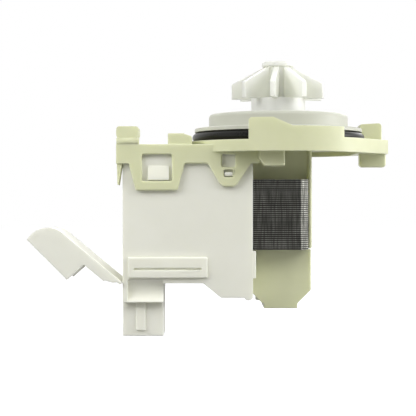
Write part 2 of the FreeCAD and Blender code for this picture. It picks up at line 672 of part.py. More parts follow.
def make_rim_wall():
    """The raised stretch of the rim at the front, which falls in steps to the bayonet wing."""
    arc = sleeve("rim_arc", "flange_rad - rim_step", "flange_rad", ("-rim_drop", "rim_high + overcut"))
    reach = prism("rim_reach", "XZ", [
        ("-rim_left", "-plate_thick"),
        ("flange_rad", "-plate_thick"),
        ("flange_rad", "rim_ledge"),
        ("rim_right", "rim_ledge"),
        ("rim_right", "rim_low"),
        ("rim_slope_end", "rim_low"),
        ("-rim_slope_start", "rim_high"),
        ("-(rim_left - rim_corner)", "rim_high"),
        ("-rim_left", "rim_high - rim_corner"),
    ], ("-(flange_rad + overcut)", "-flange_rad / 2"))
    return common("rim_wall_high", arc, reach)


def make_wing():
    """The bayonet wing: it leaves the rim along a tangent and ends in a straight side."""
    tip = math.hypot(size("wing_reach"), size("wing_front"))
    turn = math.acos(size("flange_rad") / tip) + math.atan2(size("wing_front"), size("wing_reach"))
    leave = ("flange_rad * %.5f" % math.cos(turn), "-flange_rad * %.5f" % math.sin(turn))
    return prism("wing", "XY", [
        leave,
        ("wing_reach", "-wing_front"),
        ("wing_reach", "wing_back"),
        ("flange_rad - wing_root", "wing_back"),
        ("flange_rad - wing_root", "-wing_front"),
    ], ("-rim_drop", "rim_ledge"))


def make_lugs():
    """The bayonet wing at the right of the flange, with a lug above and one below."""
    foot = "-rim_drop + rim_wall"
    upper = prism("lock_lug_block", "XZ", [
        ("lock_lug_left", foot),
        ("lock_lug_right", foot),
        ("lock_lug_right", "lock_lug_top"),
        ("lock_lug_left", "lock_lug_top - lock_lug_fall"),
    ], ("lock_lug_front", "lock_lug_front + lock_lug_width"))
    upper = rounded("lock_lug_round", upper, size("lug_round"), "Y")
    clear = rod("seal_clear", "flange_rad - rim_step", ("-seat_step", "lock_lug_top + overcut"))
    lower = block("lower_lug_box", ("lower_lug_left", "lower_lug_right"),
                  ("-lower_lug_front", "-(lower_lug_front - lower_lug_width)"),
                  ("-lower_lug_foot", "-plate_thick / 2"))
    lower = rounded("lower_lug", lower, size("lug_round"), "Y")
    return [cut("lock_lug", fuse("lock_lug_whole", upper, make_wing()), clear), lower]


def make_deck_fittings():
    """The hook and the stop that stand on the deck, and the small block under the flange."""
    hook_y = ("-hook_front", "-(hook_front - hook_width)")
    deck_middle = "-(deck_drop + deck_thick / 2)"
    head = block("hook_head_box", (DECK_LEFT, "-hook_right"), hook_y, ("hook_neck", "hook_top"))
    head = rounded("hook_head", head, size("lug_round"), "Y")
    neck = block("hook_neck_box", (DECK_LEFT + " + hook_undercut", "-(hook_right + hook_undercut)"), hook_y,
                 (deck_middle, "(hook_neck + hook_top) / 2"))
    stop = prism("deck_stop", "XZ", [
        ("-stop_left", deck_middle),
        ("-stop_foot", deck_middle),
        ("-stop_foot", "stop_foot_top"),
        ("-stop_right", "stop_top - stop_lip"),
        ("-stop_right", "stop_top"),
        ("-stop_left", "stop_top"),
    ], hook_y)
    under = prism("under_block", "XZ", [
        ("-under_left", "-plate_thick / 2"),
        ("-under_left", "-(under_foot - under_slope)"),
        ("-(under_left - under_run)", "-under_foot"),
        ("under_right", "-under_foot"),
        ("under_right", "-plate_thick / 2"),
    ], ("-(flange_rad - under_inset)", "-(flange_rad - under_inset - under_width)"))
    return [head, neck, stop, under]


def make_rotor_housing():
    """Flange, rotor can, deck, skirt, box and lugs: the one moulding that carries the pump."""
    whole = fuse("housing_whole", make_flange(), make_rim_wall(), *make_deck(), *make_motor_box(),
                 *make_lugs(), *make_deck_fittings())
    node(cut("housing", whole, *make_skirt_windows()), "rotor_housing")


def make_laminations():
    """The U-shaped core: punched sheets pressed into one stack, with grooves between their edges."""
    yoke = -size("yoke_reach")
    half = size("leg_outer")
    pole = -size("pole_inset")
    right = size("pole_reach")
    depth = size("pole_half")
    corner = size("pole_chamfer")
    tip = size("pole_tip_half")
    inner = size("leg_inner")
    window = yoke + size("yoke_width")
    step = pole + size("pole_shoulder")
    front = [(window, -inner), (pole, -inner), (pole, -tip), (right, -tip), (right, corner - depth),
             (right - corner, -depth), (step, -depth), (step, -half), (yoke, -half)]
    back = [(x, -y) for x, y in reversed(front)]
    corners = [Vector(x, y, 0) for x, y in front + back]
    bore = Part.Face(Part.Wire(Part.makeCircle(size("bore_rad"))))
    outline = Part.Face(Part.makePolygon(corners + corners[:1])).cut(bore).Faces[0]
    sheet_shape = outline.extrude(Vector(0, 0, size("sheet_thick")))
    count = int(round((size("core_height") - size("sheet_thick")) / size("sheet_pitch"))) + 1
    low = -size("core_top") - size("sheet_thick") - (count - 1) * size("sheet_pitch")
    stack = [sheet_shape.translated(Vector(0, 0, low + i * size("sheet_pitch"))) for i in range(count)]
    inside = outline.makeOffset2D(-size("sheet_groove"), join=2)
    inside = inside.extrude(Vector(0, 0, -size("core_top") - low)).translated(Vector(0, 0, low))
    piece = doc.addObject("Part::Feature", "laminations")
    piece.Shape = inside.multiFuse(stack)
    node(piece, "stator_laminations")


def leg_wrap(name, side, stand, x):
    """A box round one core leg that stands off it by a given amount."""
    y = sided(side, "leg_inner - bobbin_gap - (%s)" % stand, "leg_outer + bobbin_gap + (%s)" % stand)
    z = (CORE_FOOT + " - bobbin_gap - (%s)" % stand, CORE_TOP + " + bobbin_gap + (%s)" % stand)
    return block(name, x, y, z)


def make_coils():
    """Two bobbins on the core's legs, each with its winding between the cheeks."""
    whole = ("-bobbin_left", "-bobbin_right")
    between = ("-bobbin_left + cheek_thick", "-bobbin_right - cheek_thick")
    cheek = "bobbin_wall + winding_thick + cheek_rise"
    for side, word in ((-1, "front"), (1, "rear")):
        hole = leg_wrap(word + "_leg_hole", side, "0", whole)
        tube = leg_wrap(word + "_bobbin_tube", side, "bobbin_wall", whole)
        left = leg_wrap(word + "_left_cheek", side, cheek, (whole[0], between[0]))
        right = leg_wrap(word + "_right_cheek", side, cheek, (between[1], whole[1]))
        spool = fuse(word + "_spool", tube, left, right)
        node(cut(word + "_spool_cut", spool, hole), word + "_bobbin")
        core = leg_wrap(word + "_winding_core", side, "bobbin_wall", between)
        coil = leg_wrap(word + "_coil_box", side, "bobbin_wall + winding_thick", between)
        coil = rounded(word + "_coil", coil, size("winding_round"), "X")
        node(cut(word + "_coil_cut", coil, core), word + "_winding")


def make_cutout():
    """The thermal cutout that lies on the front winding."""
    low = CORE_TOP + " + bobbin_gap + bobbin_wall + winding_thick"
    body = block("cutout_box", ("-cutout_left", "-(cutout_left - cutout_len)"),
                 ("-cutout_front", "-(cutout_front - cutout_width)"), (low, low + " + cutout_thick"))
    node(rounded("cutout_round", body, size("cutout_edge"), "X"), "thermal_cutout")


def cover_profile(inset):
    """The cover's outline from the front, drawn in by a wall. A third keeps its slope's wall even."""
    low = "cover_drop - (%s)" % inset
    deep = "cover_deep - (%s)" % inset
    return [
        ("-cover_reach + (%s)" % inset, COVER_TOP),
        ("-cover_inset - (%s)" % inset, COVER_TOP),
        ("-cover_inset - (%s)" % inset, "-(%s)" % deep),
        ("-slope_right - (%s) / 3" % inset, "-(%s)" % deep),
        ("-slope_left - (%s) / 3" % inset, "-(%s)" % low),
        ("-cover_reach + (%s)" % inset, "-(%s)" % low),
    ]


def header_room(name, z):
    """A space inside the connector header's walls."""
    return block(name, ("-(cover_reach - header_wall)", "-(header_right + header_wall)"),
                 ("-(header_front - header_wall)", HEADER_BACK + " - header_wall"), z)


def make_coil_cover():
    """The cover that slides up under the deck over the coils, with catches, rails and header."""
    outer = prism("cover_outer", "XZ", cover_profile("0"), ("-cover_half", "cover_half"))
    inner = prism("cover_inner", "XZ", cover_profile("cover_wall"),
                  ("-(cover_half - cover_wall)", "cover_half - cover_wall"))
    notch = block("core_notch", ("-cover_inset - cover_wall - overcut", "-cover_inset + overcut"),
                  ("-(pole_half + core_notch_gap)", "pole_half + core_notch_gap"),
                  (CORE_FOOT + " - core_notch_gap", "0"))
    header = block("header_box", ("-cover_reach", "-header_right"), ("-header_front", HEADER_BACK),
                   ("-header_foot", "-(cover_drop - cover_wall)"))
    sill = block("sill_box", ("-cover_reach", "-header_right"),
                 ("-cover_half", "-(header_front - header_wall)"),
                 ("-sill_foot", "-(cover_drop - cover_wall)"))
    hollow = cross_rod("sill_hollow", "hollow_rad", ("-(cover_reach - sill_wall)", "-header_right"),
                       "-(cover_half + hollow_set)", "-hollow_middle")
    socket = header_room("socket", ("-header_foot", "-header_floor"))
    well = header_room("well", ("-(header_floor - header_wall)", "-(cover_drop - 2 * cover_wall)"))
    bump = block("cover_bump", ("-cover_inset - bump_len", "-cover_inset"), ("-cover_half", "cover_half"),
                 ("-(cover_deep + bump_drop)", "-(cover_deep - 2 * cover_wall)"))
    bump = rounded("round_bump", bump, size("bump_round"), "Y")
    slot_x = ("-(pin_place + pin_thick / 2 + pin_gap)", "-(pin_place - pin_thick / 2 - pin_gap)")
    slot_z = ("-header_foot", "-(header_floor - 2 * header_wall)")
    pins = [block("pin_slot_" + word, slot_x, pin_y(side, "pin_gap"), slot_z)
            for side, word in ((-1, "front"), (1, "back"))]
    whole = fuse("cover_whole", outer, header, sill, bump, *make_cover_trim())
    node(cut("cover", whole, inner, notch, socket, well, hollow, *pins), "coil_cover")


def pin_y(side, extra):
    """Low and high Y of one terminal pin, with a clearance."""
    middle = "-(header_front - header_depth / 2) + (%d) * pin_spacing / 2" % side
    reach = "(pin_width / 2 + (%s))" % extra
    return middle + " - " + reach, middle + " + " + reach


def make_cover_trim():
    """Catches, rails and lips on both faces of the cover, and what stands on the header."""
    pieces = make_header_trim()
    for side, word in ((-1, "front"), (1, "back")):
        pieces += make_catches(side, word)
        rail = block("rail_" + word, ("-rail_left", "-rail_right"),
                     sided(side, "cover_half - cover_wall / 2", "cover_half + rail_rise"),
                     ("-rail_foot", "-rail_top"))
        groove = block("rail_groove_" + word, ("-(rail_left - rail_edge)", "-(rail_right + rail_edge)"),
                       sided(side, "cover_half + rail_rise - rail_groove_depth",
                             "cover_half + rail_rise + overcut"),
                       ("-(rail_groove + rail_groove_width)", "-rail_groove"))
        pieces.append(cut("grooved_rail_" + word, rail, groove))
        pieces.append(block("lip_" + word, ("-cover_inset - cover_wall", "-(cover_inset - lip_reach)"),
                            sided(side, "cap_half + lip_gap", "cover_half - skirt_gap"),
                            ("-lip_foot", CORE_FOOT + " - core_notch_gap")))
    return pieces


def make_catches(side, word):
    """The wedge that snaps into the skirt's window, and the small catch for its slot."""
    inside = "cover_half - cover_wall / 2"
    key_x = ("-(slot_middle + key_half - key_gap)", "-(slot_middle - key_half + key_gap)")
    return [
        prism("catch_" + word, "YZ", [
            ("%d * (%s)" % (side, inside), "-catch_foot"),
            ("%d * (cover_half + catch_rise)" % side, "-catch_foot"),
            ("%d * (cover_half + catch_rise)" % side, "-(catch_foot - catch_flat)"),
            ("%d * (cover_half + catch_edge)" % side, "-catch_top"),
            ("%d * (%s)" % (side, inside), "-catch_top"),
        ], ("-catch_left", "-catch_right")),
        block("key_catch_" + word, key_x, sided(side, inside, "cover_half + catch_rise"),
              ("-key_catch_foot", "-key_catch_top")),
    ]


def make_header_trim():
    """The header's two latch rails, and the hollowed shoulder that carries the header at the back."""
    latch_x = ("-latch_left", "-latch_right")
    latch_z = ("-latch_foot", "-latch_top")
    inside = HEADER_BACK + " - header_wall / 2"
    front = block("latch_front", latch_x,
                  ("-(header_front + latch_rise)", "-(header_front - header_wall / 2)"), latch_z)
    back = block("latch_back", latch_x, (inside, HEADER_BACK + " + latch_rise"), latch_z)
    web = block("shoulder_box", ("-shoulder_left", "-header_right"),
                (inside, HEADER_BACK + " + shoulder_rad"),
                ("-(cover_drop + shoulder_rad)", "-(cover_drop - cover_wall / 2)"))
    hollow = cross_rod("shoulder_hollow", "shoulder_rad - shoulder_edge",
                       ("-shoulder_left - overcut", "-header_right + overcut"),
                       HEADER_BACK + " + shoulder_rad", "-(cover_drop + shoulder_rad)")
    return [front, back, cut("shoulder", web, hollow)]


def make_terminal_pins():
    """Two bent terminals: a blade in the socket and a foot under the front bobbin's left cheek."""
    pins = []
    seat = CORE_FOOT + " - bobbin_gap - bobbin_wall - winding_thick - cheek_rise"
    for side, word in ((-1, "front"), (1, "back")):
        x = ("-(pin_place + pin_thick / 2)", "-(pin_place - pin_thick / 2)")
        y = pin_y(side, "0")
        blade = block("blade_" + word, x, y, ("-(header_foot - pin_recess)", seat))
        foot = block("blade_foot_" + word, (x[0], "-bobbin_left + cheek_thick"), y,
                     (seat + " - pin_thick", seat))
        pins.append(fuse("pin_" + word, blade, foot))
    piece = doc.addObject("Part::Compound", "pins")
    piece.Links = pins
    node(piece, "terminal_pins")


def cap_profile(inset):
    """The cap's outline from the front, drawn in by a wall. Half a wall keeps its slopes' wall even."""
    shoulder = "-(%s - (%s) / 2)" % (CAP_SHOULDER, inset)
    bottom = "-(%s - (%s))" % (CAP_BOTTOM, inset)
    return [
        ("-(cap_left - (%s))" % inset, CORE_FOOT),
        ("cap_right - (%s)" % inset, CORE_FOOT),
        ("cap_right - (%s)" % inset, shoulder),
        ("cap_right - cap_slope - (%s) / 2" % inset, bottom),
        ("-(cap_left - cap_slope_left - (%s) / 2)" % inset, bottom),
        ("-(cap_left - (%s))" % inset, "-(%s - cap_slope_left - (%s) / 2)" % (CAP_BOTTOM, inset)),
    ]


def make_rear_cap():
    """The cap that presses on the can's end and holds the core up against the motor box."""
    inside = "-(%s - cap_wall / 2)" % CAP_BOTTOM
    outer = prism("cap_outer", "XZ", cap_profile("0"), ("-cap_half", "cap_half"))
    inner = prism("cap_inner", "XZ", cap_profile("cap_wall"),
                  ("-(cap_half - cap_wall)", "cap_half - cap_wall"))
    boss = block("cap_foot", ("-(cap_left - cap_slope_left - cap_boss_inset)", "cap_right - cap_slope"),
                 ("-cap_half", "cap_half"), ("-(%s + cap_boss)" % CAP_BOTTOM, inside))
    pocket = "pocket_rad + pocket_wall + cap_grip"
    collar = sleeve("cap_collar", pocket, pocket + " + cap_wall", (inside, "-(%s + collar_gap)" % CAN_STEP))
    node(fuse("cap", cut("cap_shell", outer, inner), boss, collar), "rear_cap")


def make_bearing_plate():
    """The plate that closes the rotor can: drum, ring flange, foot inside the seal, and hub."""
    body = new_body("bearing_plate_body")
    foot_in = SEAL_IN + " - spigot_wall"
    ring_rad = SEAL_MID + " + ring_lap"
    hub_rad = "(bearing_rad + cup_wall + disc_wall)"
    under = "disc_top - disc_thick"
    body_turned(body, "plate_turned", [
        ("shaft_rad + shaft_clear", "disc_top"),
        ("disc_rad", "disc_top"),
        ("disc_rad", "ring_foot + ring_thick"),
        (ring_rad, "ring_foot + ring_thick"),
        (ring_rad, "ring_foot"),
        (SEAL_IN, "ring_foot"),
        (SEAL_IN, "-seat_step"),
        (foot_in, "-seat_step"),
        (foot_in, "ring_foot"),
        ("disc_rad - disc_wall", "ring_foot"),
        ("disc_rad - disc_wall", under),
        (hub_rad, under),
        (hub_rad, "plug_rise"),
        (CAN_INNER + " - plug_gap", "plug_rise"),
        (CAN_INNER + " - plug_gap", "-plug_drop"),
        ("bearing_rad + cup_wall", "-plug_drop"),
        ("bearing_rad + cup_wall", "bearing_len - front_bearing_foot"),
        ("shaft_rad + shaft_clear", "bearing_len - front_bearing_foot"),
    ])
    body_round(body, "plate_round", "disc_round", (size("disc_rad"), size("disc_top")))
    ring_edge = size("flange_rad") - size("seat_width") - size("seal_side_gap") - size("seal_cord") / 2
    ring_edge += size("ring_lap")
    body_round(body, "ring_flange_round", "ring_round", (ring_edge, size("ring_foot") + size("ring_thick")))
    body_vanes(body, "plate_ribs", [
        (hub_rad + " - rib_root", "plug_gap"),
        (SEAL_IN + " - spigot_wall + rib_root", "plug_gap"),
        (SEAL_IN + " - spigot_wall + rib_root", "ring_foot"),
        ("disc_rad - disc_wall + rib_root", "ring_foot + rib_root"),
        ("disc_rad - disc_wall + rib_root", under + " + rib_root"),
        (hub_rad + " - rib_root", under + " + rib_root"),
    ], "rib_thick", "rib_count")
    node(body, "bearing_plate")


def make_seal():
    """The sealing ring that lies in the groove between seat face and ring flange."""
    ring = doc.addObject("Part::Torus", "seal")
    bind(ring, "Radius1", SEAL_MID)
    bind(ring, "Radius2", "seal_cord / 2")
    bind_place(ring, z="seal_seat_gap + seal_cord / 2 - seat_step")
    node(ring, "o_ring")


def make_bearings():
    """Front and rear bearing bushes, each held in a rubber cup."""
    bore = "shaft_rad + bearing_gap"
    front_top = "(bearing_len - front_bearing_foot)"
    node(sleeve("bush_front", bore, "bearing_rad", ("-front_bearing_foot", front_top)), "front_bearing")
    node(turned("cup_front", [
        ("washer_rad - washer_inlay", "-(front_bearing_foot + cup_lip)"),
        ("bearing_rad + cup_wall", "-(front_bearing_foot + cup_lip)"),
        ("bearing_rad + cup_wall", front_top),
        ("bearing_rad", front_top),
        ("bearing_rad", "-front_bearing_foot"),
        ("washer_rad - washer_inlay", "-front_bearing_foot"),
    ]), "front_bearing_cup")
    low = "-(pocket_depth - cup_lip)"
    node(sleeve("bush_rear", bore, "bearing_rad", (low, low + " + bearing_len")), "rear_bearing")
    node(turned("cup_rear", [
        ("shaft_rad + shaft_clear", "-pocket_depth"),
        ("pocket_rad", "-pocket_depth"),
        ("pocket_rad", low + " + bearing_len"),
        ("bearing_rad", low + " + bearing_len"),
        ("bearing_rad", low),
        ("shaft_rad + shaft_clear", low),
    ]), "rear_bearing_cup")


def make_rotor():
    """Shaft, magnet on its core, the two thrust washers and the drive dog."""
    rotor_foot = "(rotor_top + rotor_len)"
    rear_face = "(pocket_depth - cup_lip - bearing_len)"
    shaft_low = "-(pocket_depth - end_play)"
    node(turned("shaft", [
        ("0", shaft_low),
        ("shaft_rad - shaft_edge", shaft_low),
        ("shaft_rad", shaft_low + " + shaft_edge"),
        ("shaft_rad", "shaft_top - shaft_edge"),
        ("shaft_rad - shaft_edge", "shaft_top"),
        ("0", "shaft_top"),
    ]), "rotor_shaft")
    magnet_rad = "(%s - rotor_gap)" % CAN_INNER
    washer_z = ("-(%s - end_play)" % rear_face, "-(%s - washer_thick - end_play)" % rear_face)
    node(turned("core", [
        ("shaft_rad", washer_z[1]),
        ("sleeve_rad", washer_z[1]),
        ("sleeve_rad", "-" + rotor_foot),
        ("collar_rad", "-" + rotor_foot),
        ("collar_rad", "-%s + collar_thick" % rotor_foot),
        ("magnet_bore", "-%s + collar_thick" % rotor_foot),
        ("magnet_bore", "-rotor_top - collar_thick"),
        ("collar_rad", "-rotor_top - collar_thick"),
        ("collar_rad", "-rotor_top"),
        ("sleeve_rad", "-rotor_top"),
        ("sleeve_rad", FRONT_WASHER + " - washer_thick"),
        ("shaft_rad", FRONT_WASHER + " - washer_thick"),
    ]), "rotor_core")
    node(sleeve("magnet", "magnet_bore", magnet_rad,
                ("-%s + collar_thick" % rotor_foot, "-rotor_top - collar_thick")), "rotor_magnet")
    node(sleeve("washer_front", "shaft_rad", "washer_rad - 2 * washer_inlay",
                (FRONT_WASHER + " - washer_thick", FRONT_WASHER)), "front_thrust_washer")
    node(sleeve("washer_rear", "shaft_rad", "washer_rad", washer_z), "rear_thrust_washer")
    dog_top = "(clutch_roof - clutch_roof_thick - dog_lift)"
    dog_z = (dog_top + " - dog_thick", dog_top)
    hub = sleeve("dog_hub", "shaft_rad", "dog_hub_rad", dog_z)
    vane = block("dog_vane", ("(shaft_rad + dog_hub_rad) / 2", "dog_reach"),
                 ("-dog_width / 2", "dog_width / 2"), dog_z)
    node(fuse("dog", hub, vane), "drive_dog")


def make_impeller():
    """The impeller with its radial blades over the clutch cup, and the stop inside the cup."""
    body = new_body("impeller_body")
    roof_under = "clutch_roof - clutch_roof_thick"
    body_turned(body, "impeller_turned", [
        (CUP_INNER, CLUTCH_FOOT),
        ("clutch_rad", CLUTCH_FOOT),
        ("clutch_rad", "clutch_roof"),
        ("hub_rad", "clutch_roof"),
        ("hub_rad", "blade_head"),
        ("boss_rad", "blade_head"),
        ("boss_rad", "boss_top"),
        ("0", "boss_top"),
        ("0", "shaft_top + end_play"),
        ("shaft_rad + impeller_gap", "shaft_top + end_play"),
        ("shaft_rad + impeller_gap", roof_under),
        (CUP_INNER, roof_under),
    ])
    body_round(body, "boss_rounds", "boss_round", (size("boss_rad"), size("boss_top")),
               (size("boss_rad"), size("blade_head")))
    body_vanes(body, "blades", [
        ("hub_rad - blade_root", "blade_foot"),
        ("blade_tip", "blade_foot"),
        ("blade_tip", "blade_shoulder - blade_edge"),
        ("blade_tip - blade_edge", "blade_shoulder"),
        ("boss_rad - boss_round", "blade_head"),
        ("hub_rad - blade_root", "blade_head"),
    ], "blade_thick", "blade_count")
    body.Placement.Rotation = Rotation(AXES["Z"], size("blade_turn"))
    stop = block("clutch_stop",
                 ("-(%s + clutch_wall / 2)" % CUP_INNER, "-(dog_hub_rad + buffer_wall + stop_gap)"),
                 ("-stop_width / 2", "stop_width / 2"),
                 (CLUTCH_FOOT + " + lid_thick", roof_under + " + clutch_roof_thick / 2"))
    node(fuse("impeller_whole", body, stop), "impeller")


def make_clutch_parts():
    """The lid that closes the clutch cup from below, and the rubber buffer on its stop."""
    lid_z = (CLUTCH_FOOT, CLUTCH_FOOT + " + lid_thick")
    node(sleeve("lid", "dog_hub_rad + stop_gap", CUP_INNER + " - impeller_gap", lid_z), "clutch_lid")
    buffer_z = (CLUTCH_FOOT + " + lid_thick + impeller_gap",
                "clutch_roof - clutch_roof_thick - impeller_gap")
    pad = block("buffer_pad", ("-(%s - buffer_wall / 2)" % CUP_INNER, "-(dog_hub_rad + stop_gap)"),
                ("-(stop_width / 2 + buffer_wall)", "stop_width / 2 + buffer_wall"), buffer_z)
    slot = block("buffer_slot", ("-clutch_rad", "-(dog_hub_rad + buffer_wall + stop_gap)"),
                 ("-stop_width / 2", "stop_width / 2"), (CLUTCH_FOOT, "clutch_roof"))
    node(cut("buffer", pad, slot), "stop_buffer")


def make_flap_plate():
    """The flap's plate, which turns down into its end wall in one round."""
    low = -size("bead_rad")
    inner = size("flap_reach") - size("flap_wall")
    plate = prism("flap_plate_sharp", "XZ", [
        ("0", "-bead_rad"),
        ("flap_reach", "-bead_rad"),
        ("flap_reach", "tip_depth"),
        ("flap_reach - flap_wall", "tip_depth"),
        ("flap_reach - flap_wall", "flap_wall - bead_rad"),
        ("0", "flap_wall - bead_rad"),
    ], ("-flap_front", FLAP_BACK))
    outside = rounded("flap_plate_outside", plate, size("tip_round"), "Y",
                      Vector(size("flap_reach"), 0, low))
    return rounded("flap_plate", outside, size("tip_round") - size("flap_wall"), "Y",
                   Vector(inner, 0, low + size("flap_wall")))


def make_flap_side(word, y):
    """One side of the flap: a slim arm that widens into the hood."""
    wall = prism("flap_side_sharp_" + word, "XZ", [
        ("arm_start", "-bead_rad"),
        ("arm_start", "bead_rad"),
        ("heel_start", "heel_rise"),
        ("arm_heel", "heel_depth"),
        ("arm_heel", "arm_depth"),
        ("hood_start - hood_slope", "arm_depth"),
        ("hood_start", "hood_depth"),
        ("flap_reach", "tip_depth"),
        ("flap_reach", "-bead_rad"),
    ], y)
    return rounded("flap_side_" + word, wall, size("tip_round"), "Y",
                   Vector(size("flap_reach"), 0, -size("bead_rad")))


def make_flap():
    """The connector flap: hinge bead, plate, two arms and the hood, drawn closed along X."""
    bead = cross_rod("flap_bead", "bead_rad", ("-flap_front", FLAP_BACK), axis="Y")
    flap = fuse("flap", bead, make_flap_plate(),
                make_flap_side("front", ("-flap_front", "-(flap_front - flap_wall)")),
                make_flap_side("back", (FLAP_BACK + " - flap_wall", FLAP_BACK)))
    flap.Placement.Rotation = Rotation(Vector(0, -1, 0), 180 - size("flap_rise"))
    bind_place(flap, x="-(cover_reach + bead_gap + bead_rad)", z="-flap_pivot_drop")
    node(flap, "connector_flap")


make_rotor_housing()
make_laminations()
make_coils()
make_cutout()
make_coil_cover()
make_terminal_pins()
make_rear_cap()
make_bearing_plate()
make_seal()
make_bearings()
make_rotor()
make_impeller()
make_clutch_parts()
make_flap()

doc.recompute()
for piece in doc.Objects:
    if "Invalid" in piece.State or "Error" in piece.State:
        raise RuntimeError("%s did not build: %s" % (piece.Name, piece.State))
for piece in nodes:
    if piece.Shape.isNull() or not piece.Shape.isValid():
        raise RuntimeError("%s has no valid shape" % piece.Label)

os.makedirs("parts", exist_ok=True)
for piece in nodes:
    piece.Shape.exportStep(os.path.join("parts", piece.Label + ".step"))
print("%d sub-parts written" % len(nodes))
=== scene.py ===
"""Dishwasher drain pump: finishes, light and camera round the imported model, in metres."""
import bmesh
import bpy
import json
import math
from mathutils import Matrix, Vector
from mathutils.bvhtree import BVHTree


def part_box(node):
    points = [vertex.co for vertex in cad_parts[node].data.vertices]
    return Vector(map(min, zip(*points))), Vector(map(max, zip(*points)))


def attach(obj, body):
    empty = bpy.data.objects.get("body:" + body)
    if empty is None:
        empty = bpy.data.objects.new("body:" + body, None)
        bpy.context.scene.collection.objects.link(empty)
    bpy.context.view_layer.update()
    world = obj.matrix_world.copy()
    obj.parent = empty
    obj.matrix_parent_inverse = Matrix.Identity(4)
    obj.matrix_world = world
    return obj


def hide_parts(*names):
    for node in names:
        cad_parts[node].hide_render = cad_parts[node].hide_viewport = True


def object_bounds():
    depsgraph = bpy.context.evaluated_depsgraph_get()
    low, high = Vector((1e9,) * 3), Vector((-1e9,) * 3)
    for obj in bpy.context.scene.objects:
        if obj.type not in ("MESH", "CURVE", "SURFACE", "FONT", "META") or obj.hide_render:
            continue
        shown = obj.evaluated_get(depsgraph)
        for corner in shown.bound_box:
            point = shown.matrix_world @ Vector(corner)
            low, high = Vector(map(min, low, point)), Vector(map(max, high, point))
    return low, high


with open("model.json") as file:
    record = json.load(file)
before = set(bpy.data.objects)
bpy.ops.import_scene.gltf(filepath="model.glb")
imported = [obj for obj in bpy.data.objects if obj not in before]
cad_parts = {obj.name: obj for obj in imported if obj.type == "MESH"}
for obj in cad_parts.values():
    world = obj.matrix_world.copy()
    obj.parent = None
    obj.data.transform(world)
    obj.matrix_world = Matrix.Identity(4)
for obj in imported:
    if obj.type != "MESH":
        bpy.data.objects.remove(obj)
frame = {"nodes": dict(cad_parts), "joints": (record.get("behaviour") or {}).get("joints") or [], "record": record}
cad_low, cad_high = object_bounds()

MM = 0.001
WHITE = (1, 1, 1, 1)

# Camera: level, square to the pump's front, as the photograph was taken
PHOTO_PIXELS = 416
PIXEL_SIZE = 0.4 * MM             # at the rotor axis
AXIS_PIXEL = 278.2                # the photograph's column that holds the rotor axis
EYE_DISTANCE = 584 * MM           # in front of the rotor axis
EYE_HEIGHT = -26.0 * MM           # from the seat face
SENSOR = 36.0                     # the camera's film width, in its own millimetres
NEAR_CLIP = 0.01
FAR_CLIP = 10.0

# Light: the room's, as a share of white, and the lamps' aim
SKY = 0.22                        # from straight above
GROUND = 0.10                     # from the level and below
SKY_SPAN = (0.0, 0.9)             # a ray's part along +Z, from the ground's light to the sky's
DARK_ROOM = 0.03                  # what polished pieces see of the room behind the camera
ROOM_SPAN = (-0.85, -0.35)        # a ray's part along +Y, from the dark room to the white one
LAMP_AIM = Vector((-0.02, 0, -0.02))    # the point that every lamp looks at

# Floor: a pale sheet a little below the pump
FLOOR_TINT = 0.30                 # the share of light that it gives back
FLOOR_GLOW = 0.96                 # how white it shows
FLOOR_GAP = 0.4 * MM
FLOOR_REACH = 3.0

# Soft edges: the radius that the mould leaves on each visible moulding
SOFT_EDGES = {
    "rotor_housing": 0.6 * MM, "coil_cover": 0.25 * MM, "connector_flap": 0.25 * MM,
    "bearing_plate": 0.25 * MM, "rear_cap": 0.35 * MM, "impeller": 0.3 * MM,
}
ROUND_STEPS = 3                   # flat strips in a round

# Flap's hinge film, from the hinge's axis towards the cover
FILM_REACH = 1.1 * MM
FILM_HALF = 0.2 * MM              # half its thickness
FILM_SHORT = 0.6 * MM             # it stops this far inside the flap's ends

# Band across the foot of the corner hook
BAND_INSET = 0.1 * MM             # from the housing's left end
BAND_WIDTH = 8.5 * MM
BAND_FOOT = -2.0 * MM
BAND_TOP = 0.9 * MM
BAND_ROUND = 0.25 * MM
BAND_PROUD = 0.7 * MM
BAND_ROOT = 1.0 * MM              # how deep it sits in the hook
HOOK_FRONT = -26.0 * MM           # the hook's front face

SLOTS = {row["node"]: row["material_slot"] for row in frame["record"]["subparts"]}


def body_of(name):
    """The CAD body that a node belongs to."""
    bodies = frame["record"]["behaviour"]["bodies"]
    return next(body for body, members in bodies.items() if name in members)


def add_object(name, data):
    """A new object in the scene."""
    made = bpy.data.objects.new(name, data)
    bpy.context.scene.collection.objects.link(made)
    return made


# Small builders for node trees

MIX_INPUTS = (0, 6, 7)            # a colour Mix node's share, first and second colour
MIX_OUTPUT = 2


def feed(tree, socket, value):
    """Lead another node's output into a socket, or give it a plain value."""
    if isinstance(value, bpy.types.NodeSocket):
        tree.links.new(value, socket)
    else:
        socket.default_value = value


def node(tree, kind, settings=None, numbered=(), **named):
    """A node whose sockets are fed by number or by name."""
    made = tree.nodes.new("ShaderNode" + kind)
    for key, value in (settings or {}).items():
        setattr(made, key, value)
    for number, value in enumerate(numbered):
        feed(tree, made.inputs[number], value)
    for label, value in named.items():
        feed(tree, made.inputs[label.replace("_", " ")], value)
    return made


def maths(tree, operation, a, b=0.0, clamp=False):
    """A number worked out from one or two others."""
    return node(tree, "Math", {"operation": operation, "use_clamp": clamp}, (a, b)).outputs[0]


def spread(tree, value, span, onto=(0.0, 1.0)):
    """A value led from one span onto another, and held inside it."""
    return node(tree, "MapRange", {"clamp": True}, (value, *span, *onto)).outputs[0]


def mixed(tree, share, first, second):
    """A colour between two others."""
    made = node(tree, "Mix", {"data_type": "RGBA"})
    for number, value in zip(MIX_INPUTS, (share, first, second)):
        feed(tree, made.inputs[number], value)
    return made.outputs[MIX_OUTPUT]


